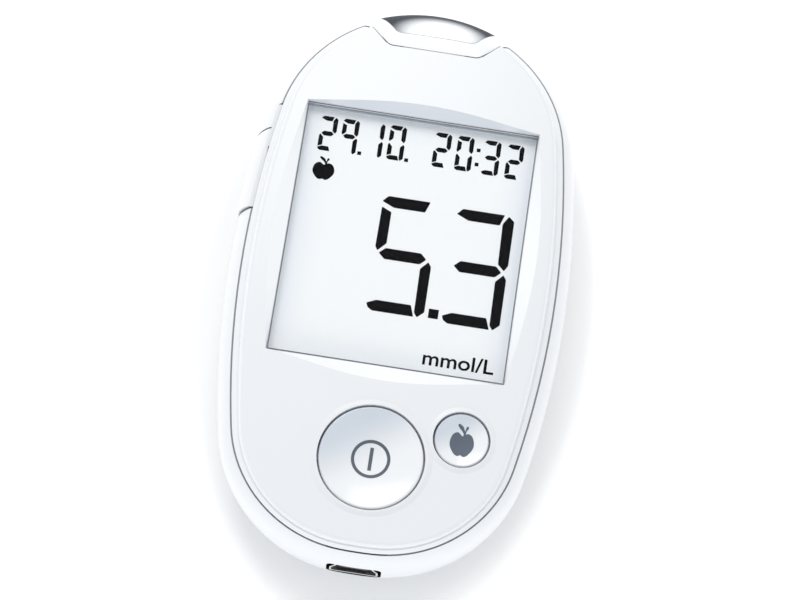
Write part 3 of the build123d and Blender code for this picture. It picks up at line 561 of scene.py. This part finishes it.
def display_film():
    """Pale reflective film of the display, with painted shade that makes it a little bluer
    towards its edges.
    """
    material, recipe, shader = new_recipe("display_film")
    shaded_border = recipe.outside(WINDOW_Y, FILM_HALF, FILM_FADE)
    tint = recipe.mix(shaded_border, FILM_MIDDLE, FILM_PAINTED_SHADE)
    grain = recipe.noise(recipe.place(), scale=5000.0, detail=1.0)
    speck = recipe.spread(grain, *NOISE_WIDE, new_high=0.05)
    recipe.feed(recipe.mix(speck, tint, FILM_SPECK), shader.inputs["Base Color"])
    recipe.feed(recipe.bump(grain, depth=0.001), shader.inputs["Normal"])
    shader.inputs["Roughness"].default_value = FILM_ROUGHNESS
    return material


def dress(material, *names):
    """Gives CAD nodes their material."""
    for name in names:
        mesh = nodes[name].data
        mesh.materials.clear()
        mesh.materials.append(material)


def add_sky():
    """White sky, a little bluer at its sides and cooler over the camera."""
    world = bpy.data.worlds.new("studio")
    world.use_nodes = True
    bpy.context.scene.world = world
    recipe = Recipe(world.node_tree)
    way = recipe.add("ShaderNodeTexCoord").outputs["Generated"]
    high = recipe.spread(recipe.apart(way)[2], *SKY_HEIGHTS)
    patch = recipe.spread(recipe.dot(way, SKY_PATCH_WAY), *SKY_PATCH_EDGE)
    tint = recipe.mix(patch, recipe.mix(high, SKY_SIDES, SKY_TOP), SKY_PATCH)
    sky = recipe.add("ShaderNodeBackground")
    sky.inputs["Strength"].default_value = SKY_STRENGTH
    recipe.feed(tint, sky.inputs["Color"])
    recipe.feed(sky.outputs[0], recipe.add("ShaderNodeOutputWorld").inputs[0])


def add_floor():
    """White floor that glows, and less so near the meter."""
    bm = bmesh.new()
    bmesh.ops.create_grid(bm, x_segments=1, y_segments=1, size=FLOOR_HALF)
    floor = new_object("floor", bm, body=None)
    paper, recipe, shader = new_recipe("floor_paper")
    shader.inputs["Base Color"].default_value = FLOOR_WHITE
    shader.inputs["Roughness"].default_value = 1.0
    shader.inputs["Specular IOR Level"].default_value = 0.0
    shader.inputs["Emission Color"].default_value = (1, 1, 1, 1)
    away = recipe.length(recipe.place(stretch=FLOOR_GLOW_STRETCH))
    glow = recipe.spread(away, *FLOOR_GLOW_REACH, *FLOOR_GLOW)
    recipe.feed(glow, shader.inputs["Emission Strength"])
    floor.data.materials.append(paper)


def segment_shapes(width, height, t):
    """Outlines of the seven bars of a digit cell, for a stroke t."""
    w, h, m = width, height, height / 2
    return {
        "a": [(0, h - 0.53 * t), (0.47 * t, h), (w - 0.86 * t, h), (w - 1.2 * t, h - t),
              (1.05 * t, h - t)],
        "b": [(w - 0.5 * t, h - 0.08 * t), (w, h - 0.5 * t), (w, m + 0.7 * t),
              (w - 0.3 * t, m + 0.18 * t), (w - 0.87 * t, m + 0.72 * t),
              (w - 0.95 * t, h - 0.85 * t)],
        "c": [(w - 0.28 * t, m - 0.2 * t), (w, m - 0.6 * t), (w, 0.53 * t), (w - 0.57 * t, 0),
              (w - 0.85 * t, 0.4 * t), (w - 0.9 * t, m - 0.9 * t)],
        "d": [(0, 0.63 * t), (0.78 * t, t), (w - 1.2 * t, t), (w - 0.86 * t, 0), (0.55 * t, 0),
              (0.15 * t, 0.25 * t)],
        "e": [(0.22 * t, m - 0.19 * t), (0.9 * t, m - 0.95 * t), (0.9 * t, 1.25 * t),
              (0, 0.88 * t), (0, m - 0.55 * t)],
        "f": [(0.04 * t, h - 1.05 * t), (0.9 * t, h - 1.45 * t), (0.9 * t, m + 0.95 * t),
              (0.22 * t, m + 0.19 * t), (0, m + 0.55 * t)],
        "g": [(0.37 * t, m), (0.9 * t, m + 0.5 * t), (w - t, m + 0.5 * t), (w - 0.5 * t, m),
              (w - t, m - 0.5 * t), (0.9 * t, m - 0.5 * t)],
    }


def ink_piece(name, bm, ink, body):
    """Piece of finished ink that rides on a body."""
    bmesh.ops.recalc_face_normals(bm, faces=bm.faces)
    piece = new_object(name, bm, body)
    piece.data.materials.append(ink)
    return piece


def thicken(bm, faces, thick):
    """Gives flat faces a thickness upwards."""
    grown = bmesh.ops.extrude_face_region(bm, geom=faces)
    tops = [v for v in grown["geom"] if isinstance(v, bmesh.types.BMVert)]
    bmesh.ops.translate(bm, verts=tops, vec=(0, 0, thick * MM))


def add_bar(bm, outline, corner):
    """One flat bar of ink with slightly rounded corners."""
    done = set(bm.faces)
    face = bm.faces.new([bm.verts.new(metres((x, y, FILM_Z))) for x, y in outline])
    bmesh.ops.bevel(
        bm, geom=list(face.verts), offset=corner * MM, affect="VERTICES", segments=3,
        profile=0.5, material=-1,
    )
    thicken(bm, [f for f in bm.faces if f not in done], INK)


def add_digits(name, digits, cell, stroke, points, point_size, ink):
    """A line of seven-bar digits with its points."""
    bm = bmesh.new()
    shapes = segment_shapes(*cell, stroke)
    for (left, bottom), digit in digits:
        for bar in LIT[digit]:
            outline = [(left + x, bottom + y) for x, y in shapes[bar]]
            add_bar(bm, outline, stroke * BAR_ROUND)
    for left, bottom in points:
        right, top = left + point_size, bottom + point_size
        square = [(left, bottom), (right, bottom), (right, top), (left, top)]
        add_bar(bm, square, stroke * POINT_ROUND)
    piece = ink_piece(name, bm, ink, "case")


def mesh_of(curve):
    """Bmesh of a flat curve or a line of text."""
    holder = bpy.data.objects.new("sign", curve)
    bpy.context.scene.collection.objects.link(holder)
    bpy.context.view_layer.update()
    found = holder.evaluated_get(bpy.context.evaluated_depsgraph_get())
    mesh = bpy.data.meshes.new_from_object(found)
    bm = bmesh.new()
    bm.from_mesh(mesh)
    bpy.data.objects.remove(holder)
    bpy.data.curves.remove(curve)
    bpy.data.meshes.remove(mesh)
    bmesh.ops.remove_doubles(bm, verts=bm.verts, dist=WELD)
    return bm


def flat_sign(points):
    """Filled shape of one smooth closed outline, as a bmesh."""
    curve = bpy.data.curves.new("outline", "CURVE")
    curve.dimensions = "2D"
    curve.fill_mode = "BOTH"
    line = curve.splines.new("BEZIER")
    line.bezier_points.add(len(points) - 1)
    line.use_cyclic_u = True
    for spot, (x, y) in zip(line.bezier_points, points):
        spot.co = (x, y, 0)
        spot.handle_left_type = spot.handle_right_type = "AUTO"
    return mesh_of(curve)


def drape(bm, node):
    """Cuts a flat sign into small squares and lays it on a node's top face."""
    step = PRINT_STEP * MM
    for axis in (0, 1):
        values = [v.co[axis] for v in bm.verts]
        place = math.ceil(min(values) / step) * step
        while place < max(values):
            spot, normal = Vector(), Vector()
            spot[axis], normal[axis] = place, 1
            every = [*bm.verts, *bm.edges, *bm.faces]
            bmesh.ops.bisect_plane(bm, geom=every, plane_co=spot, plane_no=normal)
            place += step
    mesh = nodes[node].data
    tree = BVHTree.FromPolygons(
        [v.co for v in mesh.vertices], [tuple(p.vertices) for p in mesh.polygons]
    )
    for v in bm.verts:
        start = Vector((v.co.x, v.co.y, ABOVE_ALL * MM))
        hit = tree.ray_cast(start, Vector((0, 0, -1)))[0]
        v.co.z = hit.z + PRINT_LIFT * MM


def print_on_display(name, bm, ink):
    """Sign of ink on the display; it is drawn at height 0."""
    bmesh.ops.translate(bm, verts=bm.verts, vec=(0, 0, FILM_Z * MM))
    thicken(bm, list(bm.faces), INK)
    piece = ink_piece(name, bm, ink, "case")


def print_on_button(name, bm, ink, button):
    """Sign of ink on a button, which is a node and a body of that name."""
    drape(bm, button)
    thicken(bm, list(bm.faces), PRINT)
    piece = ink_piece(name, bm, ink, button)


def apple_sign(place, size):
    """Whole apple with a stalk and one leaf."""
    bm = flat_sign(APPLE)
    for part in (STALK, LEAF):
        more = flat_sign(part)
        spare = bpy.data.meshes.new("spare")
        more.to_mesh(spare)
        more.free()
        bm.from_mesh(spare)
        bpy.data.meshes.remove(spare)
    bmesh.ops.scale(bm, verts=bm.verts, vec=(size[0] * MM, size[1] * MM, 1))
    bmesh.ops.translate(bm, verts=bm.verts, vec=metres((*place, 0)))
    return bm


def unit_sign():
    """The unit of the reading, at the lower right of the display."""
    curve = bpy.data.curves.new("unit", "FONT")
    curve.body = "mmol/L"
    curve.offset = UNIT_BOLD
    bm = mesh_of(curve)
    low = [min(v.co[axis] for v in bm.verts) for axis in (0, 1)]
    high = [max(v.co[axis] for v in bm.verts) for axis in (0, 1)]
    bmesh.ops.translate(bm, verts=bm.verts, vec=(-low[0], -low[1], 0))
    scale = [UNIT_SIZE[axis] * MM / (high[axis] - low[axis]) for axis in (0, 1)]
    bmesh.ops.scale(bm, verts=bm.verts, vec=(*scale, 1))
    bmesh.ops.translate(bm, verts=bm.verts, vec=metres((*UNIT_CORNER, 0)))
    return bm


def ring_sign():
    """Ring round the middle of the power button."""
    bm = bmesh.new()
    inner = RING_RADIUS - RING_HALF
    bmesh.ops.create_circle(bm, segments=RING_STEPS, radius=inner * MM)
    grown = bmesh.ops.extrude_edge_only(bm, edges=bm.edges[:])
    outer = [v for v in grown["geom"] if isinstance(v, bmesh.types.BMVert)]
    wider = (RING_RADIUS + RING_HALF) / inner
    bmesh.ops.scale(bm, verts=outer, vec=(wider, wider, 1))
    bmesh.ops.translate(bm, verts=bm.verts, vec=metres((*POWER_MIDDLE, 0)))
    return bm


def bar_sign():
    """Upright bar at the middle of the power button."""
    bm = bmesh.new()
    bmesh.ops.create_grid(bm, x_segments=1, y_segments=1, size=1)
    bmesh.ops.scale(bm, verts=bm.verts, vec=(BAR_HALF[0] * MM, BAR_HALF[1] * MM, 1))
    bmesh.ops.translate(bm, verts=bm.verts, vec=metres((*POWER_MIDDLE, 0)))
    return bm


# --- camera and light
add_camera()
add_sky()
add_softbox("key", KEY_PLACE, KEY_SIZE, KEY_POWER)
add_softbox("fill", FILL_PLACE, FILL_SIZE, FILL_POWER)
add_floor()
bpy.context.scene.view_settings.view_transform = "Standard"

# --- plastics: all nodes are white first, with painted shade in their deep gaps and seams, and then most of them get their own material
dress(moulded("white_plastic", WHITE, painted_gap_tint=SEAM_PAINTED_SHADE), *nodes)
dress(moulded("front_plastic", WHITE, painted_marks=front_painted_light_and_shade), "front_cover")
dress(moulded("rear_plastic", FLANK_PAINTED_SHADE_WHITE, painted_gap_tint=SEAM_PAINTED_SHADE, painted_marks=rear_painted_light_and_shade), "rear_cover")
dress(moulded("key_plastic", FLANK_PAINTED_SHADE_WHITE, painted_marks=side_key_painted_shade), "side_rocker")
dress(pearl("power_pearl", POWER_MIDDLE, POWER_RADIUS), "power_button")
dress(pearl("marker_pearl", MARKER_MIDDLE, MARKER_RADIUS), "marker_button")
dress(silver_lacquer(), "strip_port_trim")
dress(clear_plastic(), "window_lens")
dress(display_film(), "lcd_front_glass", "lcd_rear_glass", "lcd_reflector")
dress(
    moulded("gasket_foam", (0.66, 0.70, 0.75), roughness=0.8, grain=0.01, grain_scale=2500.0),
    "window_gasket",
)
dress(moulded("zebra_rubber", (0.03, 0.032, 0.035), roughness=0.7), "zebra_strip")
dress(
    moulded("black_nylon", (0.02, 0.02, 0.022), roughness=0.45),
    "usb_tongue", "switch_bodies", "microcontroller", "memory_chip", "buzzer", "strip_connector",
)
dress(moulded("board_green", (0.02, 0.13, 0.06), roughness=0.4), "main_board")

# --- metals
dress(sheet_metal("tinned_steel", (0.90, 0.90, 0.89), roughness=0.22), "usb_shell")
dress(
    sheet_metal("bright_steel", (0.62, 0.62, 0.61), roughness=0.3),
    "case_screws", "board_screws", "battery_cell_lower", "battery_cell_upper", "battery_link",
    "battery_contact_negative", "battery_contact_positive", "power_dome", "marker_dome",
    "crystal",
)
dress(
    sheet_metal("contact_gold", (0.83, 0.62, 0.28), roughness=0.25),
    "usb_contacts", "strip_contacts",
)

# --- inks: what the display shows, and the signs on the buttons
ink = moulded("display_ink", (0.004, 0.004, 0.005), roughness=0.8, tone=0.1, specular=0.0)
slate = moulded("slate_print", (0.085, 0.102, 0.13), roughness=0.5, tone=0.08)
blue_slate = moulded("blue_slate_print", (0.09, 0.112, 0.15), roughness=0.5, tone=0.08)
add_digits("display_date", SMALL_DIGITS, SMALL_CELL, SMALL_STROKE, SMALL_POINTS, SMALL_POINT, ink)
add_digits("display_value", BIG_DIGITS, BIG_CELL, BIG_STROKE, BIG_POINTS, BIG_POINT, ink)
print_on_display("display_unit", unit_sign(), ink)
print_on_display("display_apple", apple_sign(*SCREEN_APPLE), ink)
print_on_button("power_ring", ring_sign(), slate, "power_button")
print_on_button("power_bar", bar_sign(), slate, "power_button")
print_on_button("marker_apple", apple_sign(*MARKER_APPLE), blue_slate, "marker_button")
